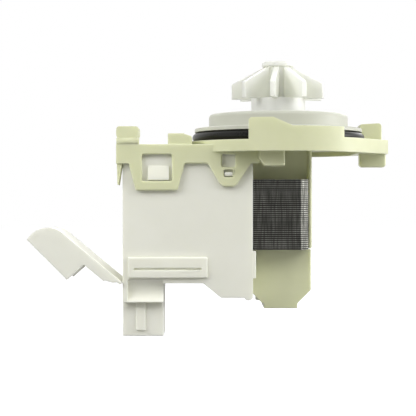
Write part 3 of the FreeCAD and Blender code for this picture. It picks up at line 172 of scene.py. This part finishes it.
def place(tree):
    """The point's place in its own piece."""
    return tree.nodes.new("ShaderNodeTexCoord").outputs["Object"]


def noise(tree, where, scale, detail):
    """Soft noise. Its scale is per metre, one number or one for each axis."""
    if isinstance(scale, tuple):
        where, scale = node(tree, "Mapping", Vector=where, Scale=scale).outputs[0], 1.0
    return node(tree, "TexNoise", Vector=where, Scale=scale, Detail=detail).outputs["Fac"]


def effect_group(name, inputs):
    """A shared effect that puts out a surface. Each input is its name, kind and default."""
    tree = bpy.data.node_groups.new(name, "ShaderNodeTree")
    for label, kind, value in inputs:
        socket = tree.interface.new_socket(label, in_out="INPUT", socket_type="NodeSocket" + kind)
        socket.default_value = value
    for label, kind in (("Color", "Color"), ("Roughness", "Float"), ("Height", "Float")):
        tree.interface.new_socket(label, in_out="OUTPUT", socket_type="NodeSocket" + kind)
    given, result = tree.nodes.new("NodeGroupInput"), tree.nodes.new("NodeGroupOutput")
    return tree, given.outputs, result.inputs


# Effects that several finishes share. Scales are per metre, and spans are of the noise's own values.

CLOUD_SCALE = 60.0
GRAIN_SCALE = 2600.0
SPECK_SCALE = 520.0
FLOW_SCALE = (30, 30, 260)        # long across, short up and down
CLOUD_SPAN = (0.35, 0.7)
FLOW_SPAN = (0.55, 0.8)
FLOW_TONE = 0.12
SPECK_SPAN = (0.05, 0.08)         # from a speck's middle to its rim
SPECK_TONE = 0.25
GLOSS_SPAN = (0.3, 0.7)
CLOUD_GLOSS = (-0.05, 0.07)
GRAIN_GLOSS = (-0.03, 0.03)
CLOUD_HEIGHT = 0.5


def moulded_skin_group():
    """Moulded plastic: slow tone changes, faint flow lines, fine grain and a few specks."""
    tree, given, result = effect_group("moulded_skin", [
        ("Tint", "Color", (0.8, 0.8, 0.8, 1)),
        ("Deep Tint", "Color", (0.7, 0.7, 0.7, 1)),
        ("Cloud Scale", "Float", CLOUD_SCALE),
        ("Cloud Share", "Float", 0.5),
        ("Grain Scale", "Float", GRAIN_SCALE),
        ("Base Roughness", "Float", 0.4),
    ])
    where = place(tree)
    cloud = noise(tree, where, given["Cloud Scale"], detail=3.0)
    grain = noise(tree, where, given["Grain Scale"], detail=2.0)
    flow = noise(tree, where, FLOW_SCALE, detail=2.0)
    dust = node(tree, "TexVoronoi", Vector=where, Scale=SPECK_SCALE, Randomness=1.0).outputs["Distance"]
    speck = maths(tree, "MULTIPLY", spread(tree, dust, SPECK_SPAN, (1.0, 0.0)), SPECK_TONE)
    tone = maths(tree, "MULTIPLY", spread(tree, cloud, CLOUD_SPAN), given["Cloud Share"])
    tone = maths(tree, "ADD", tone, spread(tree, flow, FLOW_SPAN, (0.0, FLOW_TONE)))
    tone = maths(tree, "ADD", tone, speck, clamp=True)
    rough = maths(tree, "ADD", given["Base Roughness"], spread(tree, cloud, GLOSS_SPAN, CLOUD_GLOSS))
    rough = maths(tree, "ADD", rough, spread(tree, grain, GLOSS_SPAN, GRAIN_GLOSS))
    feed(tree, result["Color"], mixed(tree, tone, given["Tint"], given["Deep Tint"]))
    feed(tree, result["Roughness"], rough)
    feed(tree, result["Height"], maths(tree, "ADD", grain, maths(tree, "MULTIPLY", cloud, CLOUD_HEIGHT)))
    return tree


SHEET_PITCH = 0.8 * MM
BURR_SPAN = (0.18, 0.34)          # from the sheet's middle, in sheets
STREAK_SCALE = (1500, 1500, 110)  # short across, long up and down
STREAK_SPAN = (0.35, 0.72)
STREAK_TONE = (0.25, 1.0)
SHEET_TONE = (0.6, 1.15)          # from the dullest sheet to the brightest
STREAK_GLOSS_SPAN = (0.3, 0.75)
STREAK_GLOSS = (0.52, 0.34)


def sheet_edge_group():
    """Edges of stacked sheets: bright burrs where two sheets meet, with streaks from the punch."""
    tree, given, result = effect_group("sheet_edges", [
        ("Pitch", "Float", SHEET_PITCH),
        ("Start", "Float", 0.0),
        ("Steel", "Color", (0.1, 0.1, 0.1, 1)),
        ("Burr", "Color", (0.3, 0.3, 0.3, 1)),
        ("Burr Share", "Float", 0.5),
    ])
    where = place(tree)
    height = node(tree, "SeparateXYZ", Vector=where).outputs["Z"]
    count = maths(tree, "DIVIDE", maths(tree, "SUBTRACT", given["Start"], height), given["Pitch"])
    off_middle = maths(tree, "ABSOLUTE", maths(tree, "SUBTRACT", maths(tree, "FRACT", count), 0.5))
    burr = spread(tree, off_middle, BURR_SPAN)
    sheet = node(tree, "TexWhiteNoise", {"noise_dimensions": "1D"}, W=maths(tree, "FLOOR", count))
    streak = noise(tree, where, STREAK_SCALE, detail=3.0)
    patchy = maths(tree, "MULTIPLY", spread(tree, streak, STREAK_SPAN, STREAK_TONE), given["Burr Share"])
    bright = maths(tree, "MULTIPLY", burr, patchy)
    each = spread(tree, sheet.outputs["Value"], (0.0, 1.0), SHEET_TONE)
    bright = maths(tree, "MULTIPLY", bright, each, clamp=True)
    feed(tree, result["Color"], mixed(tree, bright, given["Steel"], given["Burr"]))
    feed(tree, result["Roughness"], spread(tree, streak, STREAK_GLOSS_SPAN, STREAK_GLOSS))
    feed(tree, result["Height"], maths(tree, "ADD", burr, streak))
    return tree


RING_SCALE = (20, 20, 6000)       # long across, very short up and down
RING_SPAN = (0.3, 0.7)
RING_GLOSS = (0.18, 0.34)
PATCH_SCALE = 4000.0
PATCH_SPAN = (0.45, 0.7)


def turned_metal_group():
    """Ground or drawn metal: fine rings round the upright axis, and small dull patches."""
    tree, given, result = effect_group("turned_metal", [
        ("Metal", "Color", (0.6, 0.6, 0.6, 1)),
        ("Dull", "Color", (0.4, 0.4, 0.4, 1)),
        ("Patch Scale", "Float", PATCH_SCALE),
    ])
    where = place(tree)
    rings = noise(tree, where, RING_SCALE, detail=2.0)
    patch = spread(tree, noise(tree, where, given["Patch Scale"], detail=3.0), PATCH_SPAN)
    feed(tree, result["Color"], mixed(tree, patch, given["Metal"], given["Dull"]))
    feed(tree, result["Roughness"], spread(tree, rings, RING_SPAN, RING_GLOSS))
    feed(tree, result["Height"], rings)
    return tree


# Finishes

BUMP_HEIGHT = 0.04 * MM
SCATTER_TINT = (1.0, 1.0, 0.95)   # blue light goes a little less deep


def colour(red, green, blue):
    """A colour given as screen values from 0 to 255, in the scene's linear values."""
    def linear(value):
        value = value / 255
        return value / 12.92 if value <= 0.04045 else ((value + 0.055) / 1.055) ** 2.4
    return (linear(red), linear(green), linear(blue), 1)


def finish_material(name, group, values, bump, metallic=0.0, subsurface=0.0, depth=1.6 * MM, specular=0.5):
    """A material from one shared effect. What is the same all over is set on the shader itself."""
    material = bpy.data.materials.new(name)
    material.use_nodes = True
    tree = material.node_tree
    shader = tree.nodes["Principled BSDF"].inputs
    effect = node(tree, "Group", {"node_tree": group})
    for label, value in values.items():
        effect.inputs[label].default_value = value
    raised = node(tree, "Bump", Height=effect.outputs["Height"], Strength=bump, Distance=BUMP_HEIGHT)
    feed(tree, shader["Base Color"], effect.outputs["Color"])
    feed(tree, shader["Roughness"], effect.outputs["Roughness"])
    feed(tree, shader["Normal"], raised.outputs[0])
    feed(tree, shader["Metallic"], metallic)
    feed(tree, shader["Subsurface Weight"], subsurface)
    feed(tree, shader["Subsurface Radius"], SCATTER_TINT)
    feed(tree, shader["Subsurface Scale"], depth)
    feed(tree, shader["Specular IOR Level"], specular)
    return material


skin = moulded_skin_group()
sheets = sheet_edge_group()
metal = turned_metal_group()


def plastic(name, tint, deep, roughness, clouds=0.5, bump=0.25, **shader_values):
    """A moulded, pressed or sintered finish, from its tint to a deeper one."""
    return finish_material(name, skin, {
        "Tint": colour(*tint), "Deep Tint": colour(*deep), "Base Roughness": roughness,
        "Cloud Scale": CLOUD_SCALE, "Cloud Share": clouds, "Grain Scale": GRAIN_SCALE}, bump, **shader_values)


def metal_finish(name, bright, dull):
    """A ground or drawn metal finish."""
    values = {"Metal": colour(*bright), "Dull": colour(*dull), "Patch Scale": PATCH_SCALE}
    return finish_material(name, metal, values, bump=0.15, metallic=1.0)


def sheet_finish(name, steel, burr):
    """The laminated core's finish. Its sheets are counted down from the core's top."""
    core_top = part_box("stator_laminations")[1].z
    return finish_material(name, sheets, {
        "Pitch": SHEET_PITCH, "Start": core_top, "Steel": colour(*steel), "Burr": colour(*burr),
        "Burr Share": 0.75}, bump=0.5, metallic=1.0)


FINISH = {
    "housing_plastic": plastic("cream_moulding", (223, 225, 189), (209, 212, 173), 0.42,
                               subsurface=0.6, depth=2.0 * MM),
    "cover_plastic": plastic("off_white_moulding", (241, 241, 228), (234, 234, 220), 0.45,
                             subsurface=0.6, depth=2.0 * MM),
    "plate_plastic": plastic("light_grey_moulding", (200, 201, 188), (191, 192, 179), 0.38,
                             subsurface=0.3),
    "impeller_plastic": plastic("natural_impeller", (235, 236, 228), (229, 230, 222), 0.4,
                                subsurface=0.9, depth=3.0 * MM),
    "rotor_plastic": plastic("glass_filled_rotor", (190, 188, 176), (170, 168, 156), 0.5,
                             subsurface=0.05),
    "seal_rubber": plastic("black_rubber", (20, 20, 18), (28, 28, 26), 0.3,
                           clouds=0.7, bump=0.4, specular=0.22),
    "bearing_carbon": plastic("bearing_carbon", (40, 40, 42), (58, 58, 60), 0.35, clouds=0.8),
    "ceramic": plastic("thrust_ceramic", (236, 233, 226), (226, 222, 214), 0.2, subsurface=0.1),
    "bobbin_plastic": plastic("dark_bobbin", (66, 70, 64), (52, 56, 50), 0.45),
    "cutout_case": plastic("cutout_case", (34, 34, 36), (46, 46, 48), 0.4),
    "magnet_ferrite": plastic("sintered_ferrite", (48, 48, 50), (64, 64, 66), 0.6, clouds=0.9, bump=0.5),
    "shaft_steel": metal_finish("ground_shaft", (205, 205, 205), (170, 170, 170)),
    "terminal_brass": metal_finish("tinned_terminal", (214, 200, 160), (180, 160, 110)),
    "winding_copper": metal_finish("enamelled_copper", (170, 92, 48), (136, 66, 34)),
    "core_steel": sheet_finish("core_sheets", (46, 46, 43), (176, 176, 168)),
}


def dress(piece, slot, body):
    """Give a piece its finish, and let it ride on a CAD body."""
    piece.data.materials.clear()
    piece.data.materials.append(FINISH[slot])
    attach(piece, body)


def paint_solids():
    """Give each CAD solid its finish."""
    for name, solid in frame["nodes"].items():
        for mark in solid.material_slots:
            mark.material = FINISH[SLOTS[name]]


# Hard edges of mouldings

HARD_BEND = math.radians(35)      # an edge that bends more is rounded
KNIFE_BEND = math.radians(150)    # a thin tip stays sharp
RUN_BEND = math.radians(50)       # a run of edges goes on until it turns more than this
FLAT_BEND = math.radians(0.2)     # faces that bend less are joined again
MERGE_REACH = 0.002 * MM          # corners nearer than this are one
MOST_CORNERS = 4                  # a face with more is split
ROOM_SHARE = 0.42                 # of the surface beside an edge, the part that its round may take
ROOM_PROBES = (0.15, 0.5, 0.85)   # the places along an edge where that surface is measured
ROOM_HOPS = 12                    # the most soft edges that one measure crosses
ENDS_SHARE = 0.9                  # of an edge's length, the part that the rounds at its ends may take
LEAST_ROUND = 0.3                 # of the full radius
NARROWING = 0.6                   # what a round that folds over is narrowed by
NARROWING_ROUNDS = 9
FOLD_REACH = 0.45 * MM            # how near a fold lies to the edges that made it
FOLD_AREA = 0.01 * MM * MM        # a smaller face is no fold
FOLD_AWAY = 0.4 * MM              # a face this far from the CAD surface is a fold
FOLD_FACING = -0.3                # so is a face that looks against it: the cosine between the two
TINY = 1e-9                       # a length that counts as none
TINY_SQUARED = 1e-18


def bend(edge):
    """How far the surface turns across an edge."""
    return edge.calc_face_angle(0.0) if len(edge.link_faces) == 2 else 0.0


def next_crossing(face, spot, inward, came):
    """Where a line on a face leaves it: the distance and the edge."""
    across = face.normal.cross(inward)
    nearest, crossed = None, None
    for loop in face.loops:
        if loop.edge == came:
            continue
        first, second = loop.vert.co - spot, loop.link_loop_next.vert.co - spot
        low, high = first.dot(across), second.dot(across)
        if (low > 0) == (high > 0):
            continue
        share = low / (low - high)
        gone = first.dot(inward) * (1 - share) + second.dot(inward) * share
        if gone > TINY and (nearest is None or gone < nearest):
            nearest, crossed = gone, loop.edge
    return nearest, crossed


def room_beside(edge, side, hard, enough):
    """How far the surface goes on from a hard edge, over soft edges, before the next hard edge."""
    least = enough
    start = next(loop for loop in side.loops if loop.edge == edge)
    along = (start.link_loop_next.vert.co - start.vert.co).normalized()
    for share in ROOM_PROBES:
        spot = edge.verts[0].co.lerp(edge.verts[1].co, share)
        face, came, gone = side, edge, 0.0
        inward = face.normal.cross(along)
        for _ in range(ROOM_HOPS):
            step, crossed = next_crossing(face, spot, inward, came)
            if crossed is None or gone + step >= least:
                break
            gone += step
            if crossed in hard:
                least = gone
                break
            spot = spot + inward * step
            face = next(other for other in crossed.link_faces if other != face)
            came = crossed
            inward = (inward - face.normal * inward.dot(face.normal)).normalized()
    return least


def edge_runs(hard):
    """Hard edges in runs that go on without a corner. Each run gets one radius."""
    left, runs = set(hard), []
    for seed in hard:
        if seed not in left:
            continue
        left.discard(seed)
        run = [seed]
        for edge in run:
            for corner in edge.verts:
                ahead = (corner.co - edge.other_vert(corner).co).normalized()
                for other in corner.link_edges:
                    if other in left and ahead.angle(other.other_vert(corner).co - corner.co, 0) < RUN_BEND:
                        left.discard(other)
                        run.append(other)
        runs.append(run)
    return runs


def corner_share(edge, hard, radius):
    """The share of the radius at which the rounds at both ends of an edge still leave it some length."""
    need = 0.0
    for corner in edge.verts:
        out = edge.other_vert(corner).co - corner.co
        turns = [math.pi - out.angle(other.other_vert(corner).co - corner.co, math.pi)
                 for other in corner.link_edges if other != edge and other in hard]
        need += math.tan(min(max(turns, default=0.0), KNIFE_BEND) / 2)
    return ENDS_SHARE * edge.calc_length() / (radius * need) if need > 0 else 1.0


def weigh_edges(shape, radius):
    """Set how much of the radius each hard edge gets. Gives the runs as edge numbers."""
    weight = shape.edges.layers.float.new("bevel_weight_edge")
    hard = [edge for edge in shape.edges if bend(edge) > HARD_BEND]
    lookup = set(hard)
    share = {}
    for edge in hard:
        room = min(room_beside(edge, face, lookup, radius / ROOM_SHARE) for face in edge.link_faces)
        share[edge] = min(1.0, ROOM_SHARE * room / radius, corner_share(edge, lookup, radius))
    runs = edge_runs(hard)
    for run in runs:
        least = max(LEAST_ROUND, min(share[edge] for edge in run))
        for edge in run:
            edge[weight] = least if bend(edge) < KNIFE_BEND else 0.0
            edge.smooth = bend(edge) < KNIFE_BEND
    shape.edges.index_update()
    return [[edge.index for edge in run] for run in runs]


def fold_spots(piece, solid):
    """The places where a rounded face lies far from the CAD surface or looks the wrong way."""
    seen = piece.evaluated_get(bpy.context.evaluated_depsgraph_get())
    mesh = seen.to_mesh()
    mesh.calc_loop_triangles()
    spots = []
    for face in mesh.loop_triangles:
        if face.area > FOLD_AREA:
            middle = sum((mesh.vertices[i].co for i in face.vertices), Vector()) / 3
            _, facing, _, away = solid.find_nearest(middle)
            if away > FOLD_AWAY or facing.dot(face.normal) < FOLD_FACING:
                spots.append(middle)
    seen.to_mesh_clear()
    return spots


def near_edge(spot, start, end):
    """Whether a spot lies within a fold's reach of an edge."""
    length = end - start
    share = max(0.0, min(1.0, (spot - start).dot(length) / max(length.length_squared, TINY_SQUARED)))
    return (start + length * share - spot).length < FOLD_REACH


def narrow_folds(piece, solid, runs):
    """Narrow the runs whose rounds fold over each other, until none does or the rounds are used up."""
    mesh = piece.data
    weight = mesh.attributes["bevel_weight_edge"].data
    ends = [[mesh.vertices[i].co.copy() for i in edge.vertices] for edge in mesh.edges]
    for _ in range(NARROWING_ROUNDS):
        spots = fold_spots(piece, solid)
        if not spots:
            return
        for run in runs:
            if any(near_edge(spot, *ends[i]) for spot in spots for i in run):
                for i in run:
                    weight[i].value = weight[i].value * NARROWING
        mesh.update()


def join_faces(shape):
    """Join the triangles of each flat face, and split the faces with many corners more evenly."""
    bmesh.ops.remove_doubles(shape, verts=shape.verts, dist=MERGE_REACH)
    bmesh.ops.dissolve_limit(shape, angle_limit=FLAT_BEND, verts=shape.verts, edges=shape.edges)
    bmesh.ops.triangulate(shape, faces=[face for face in shape.faces if len(face.verts) > MOST_CORNERS],
                          ngon_method="BEAUTY")


def soften(name, radius):
    """A copy of a CAD piece with its hard edges rounded as a mould leaves them. It stands for that piece."""
    mesh = frame["nodes"][name].data.copy()
    shape = bmesh.new()
    shape.from_mesh(mesh)
    solid = BVHTree.FromBMesh(shape)
    join_faces(shape)
    runs = weigh_edges(shape, radius)
    for face in shape.faces:
        face.smooth = True
    shape.to_mesh(mesh)
    shape.free()
    spare = mesh.attributes.get("custom_normal")
    if spare:
        mesh.attributes.remove(spare)
    piece = add_object(name + "_moulded", mesh)
    bevel = piece.modifiers.new("soft_edges", "BEVEL")
    bevel.limit_method = "WEIGHT"
    bevel.width = radius
    bevel.segments = ROUND_STEPS
    bevel.use_clamp_overlap = False
    bevel.miter_outer = "MITER_ARC"
    bevel.loop_slide = False
    narrow_folds(piece, solid, runs)
    level = piece.modifiers.new("even_normals", "WEIGHTED_NORMAL")
    level.keep_sharp = True
    dress(piece, SLOTS[name], body_of(name))
    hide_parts(name)


# Small moulded forms that the solids leave out

def add_slab(name, low, high, slot, body, softness=0.0):
    """A thin flat piece between two corners, with soft edges where it has a softness."""
    low, high = Vector(low), Vector(high)
    mesh = bpy.data.meshes.new(name)
    shape = bmesh.new()
    bmesh.ops.create_cube(shape, size=1.0)
    for corner in shape.verts:
        corner.co = low + (corner.co + Vector((0.5, 0.5, 0.5))) * (high - low)
    if softness > 0:
        bmesh.ops.bevel(shape, geom=shape.edges[:], offset=softness, segments=ROUND_STEPS, affect="EDGES")
    for face in shape.faces:
        face.smooth = softness > 0
    shape.to_mesh(mesh)
    shape.free()
    dress(add_object(name, mesh), slot, body)


def add_hinge_film():
    """The thin film that joins the flap's bead to the coil cover."""
    flap_low, flap_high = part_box("connector_flap")
    hinge_x, _, hinge_z = next(joint["pos_m"] for joint in frame["joints"] if joint["name"] == "flap_hinge")
    add_slab("flap_hinge_film",
             (hinge_x, flap_low.y + FILM_SHORT, hinge_z - FILM_HALF),
             (hinge_x + FILM_REACH, flap_high.y - FILM_SHORT, hinge_z + FILM_HALF),
             "cover_plastic", body_of("coil_cover"))


def add_hook_band():
    """The proud band across the foot of the corner hook, on the front of the rotor housing."""
    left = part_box("rotor_housing")[0].x + BAND_INSET
    add_slab("hook_foot_band",
             (left, HOOK_FRONT - BAND_PROUD, BAND_FOOT),
             (left + BAND_WIDTH, HOOK_FRONT + BAND_ROOT, BAND_TOP),
             "housing_plastic", body_of("rotor_housing"), BAND_ROUND)


# Camera, light and floor

def add_camera():
    """A level camera that frames the pump as the photograph does."""
    camera = bpy.data.cameras.new("camera")
    camera.sensor_width = SENSOR
    camera.lens = SENSOR * EYE_DISTANCE / (PHOTO_PIXELS * PIXEL_SIZE)
    camera.clip_start = NEAR_CLIP
    camera.clip_end = FAR_CLIP
    seat = add_object("camera", camera)
    aside = (PHOTO_PIXELS / 2 - AXIS_PIXEL) * PIXEL_SIZE
    seat.location = (aside, -EYE_DISTANCE, EYE_HEIGHT)
    seat.rotation_euler = (math.radians(90), 0, 0)
    bpy.context.scene.camera = seat


def add_lamp(name, where, size, watts, polished=True):
    """A softbox that looks at the pump. Polished pieces reflect it, or don't."""
    lamp = bpy.data.lights.new(name, "AREA")
    lamp.shape = "RECTANGLE"
    lamp.size, lamp.size_y = size
    lamp.energy = watts
    holder = add_object(name, lamp)
    holder.location = where
    holder.visible_glossy = polished
    holder.rotation_euler = (LAMP_AIM - Vector(where)).to_track_quat("-Z", "Y").to_euler()


def add_lamps():
    """Softboxes in front, at both sides and behind. The front ones don't show in polished pieces."""
    add_lamp("top_front_softbox", where=(-0.06, -0.60, 0.72), size=(0.9, 0.6), watts=2.9, polished=False)
    add_lamp("left_softbox", where=(-0.47, -0.28, 0.22), size=(0.3, 0.3), watts=2.0, polished=False)
    add_lamp("right_softbox", where=(0.48, -0.30, 0.30), size=(0.3, 0.3), watts=2.0, polished=False)
    add_lamp("side_softbox", where=(0.70, -0.02, 0.0), size=(0.5, 0.5), watts=4.0)
    add_lamp("back_softbox", where=(0.2, 0.8, 0.5), size=(0.9, 0.7), watts=4.0)


def white_rays(tree):
    """Masks of two kinds of ray: from the camera or through a clear piece, and off a polished one."""
    rays = tree.nodes.new("ShaderNodeLightPath").outputs
    return maths(tree, "MAXIMUM", rays["Is Camera Ray"], rays["Is Transmission Ray"]), rays["Is Glossy Ray"]


def add_room():
    """The room's own light. It shows white, but polished pieces see it dark behind the camera."""
    world = bpy.data.worlds.new("studio")
    bpy.context.scene.world = world
    world.use_nodes = True
    tree = world.node_tree
    tree.nodes.clear()
    way = node(tree, "SeparateXYZ", Vector=tree.nodes.new("ShaderNodeTexCoord").outputs["Generated"])
    sky = spread(tree, way.outputs["Z"], SKY_SPAN, (GROUND, SKY))
    room = spread(tree, way.outputs["Y"], ROOM_SPAN, (DARK_ROOM, 1.0))
    seen, polished = white_rays(tree)
    strength = spread(tree, polished, (0.0, 1.0), (sky, room))
    strength = spread(tree, seen, (0.0, 1.0), (strength, 1.0))
    shine = node(tree, "Background", Color=WHITE, Strength=strength)
    node(tree, "OutputWorld", Surface=shine.outputs[0])


def floor_material():
    """Pale and matt. It shows nearly white, and takes the pump's shadow."""
    material = bpy.data.materials.new("pale_floor")
    material.use_nodes = True
    tree = material.node_tree
    tree.nodes.clear()
    seen, polished = white_rays(tree)
    shown = maths(tree, "MULTIPLY", maths(tree, "MAXIMUM", seen, polished), FLOOR_GLOW)
    matt = node(tree, "BsdfDiffuse", Color=(FLOOR_TINT, FLOOR_TINT, FLOOR_TINT, 1))
    glow = node(tree, "Emission", Color=WHITE, Strength=shown)
    both = node(tree, "AddShader", numbered=(matt.outputs[0], glow.outputs[0]))
    node(tree, "OutputMaterial", Surface=both.outputs[0])
    return material


def add_floor():
    """The sheet that the pump stands over."""
    level, reach = cad_low.z - FLOOR_GAP, FLOOR_REACH
    corners = [(-reach, -reach, level), (reach, -reach, level), (reach, reach, level), (-reach, reach, level)]
    mesh = bpy.data.meshes.new("floor")
    mesh.from_pydata(corners, [], [(0, 1, 2, 3)])
    mesh.materials.append(floor_material())
    add_object("floor", mesh)


paint_solids()
for name, radius in SOFT_EDGES.items():
    soften(name, radius)
add_hinge_film()
add_hook_band()
add_camera()
add_lamps()
add_room()
add_floor()
bpy.context.scene.view_settings.view_transform = "Standard"
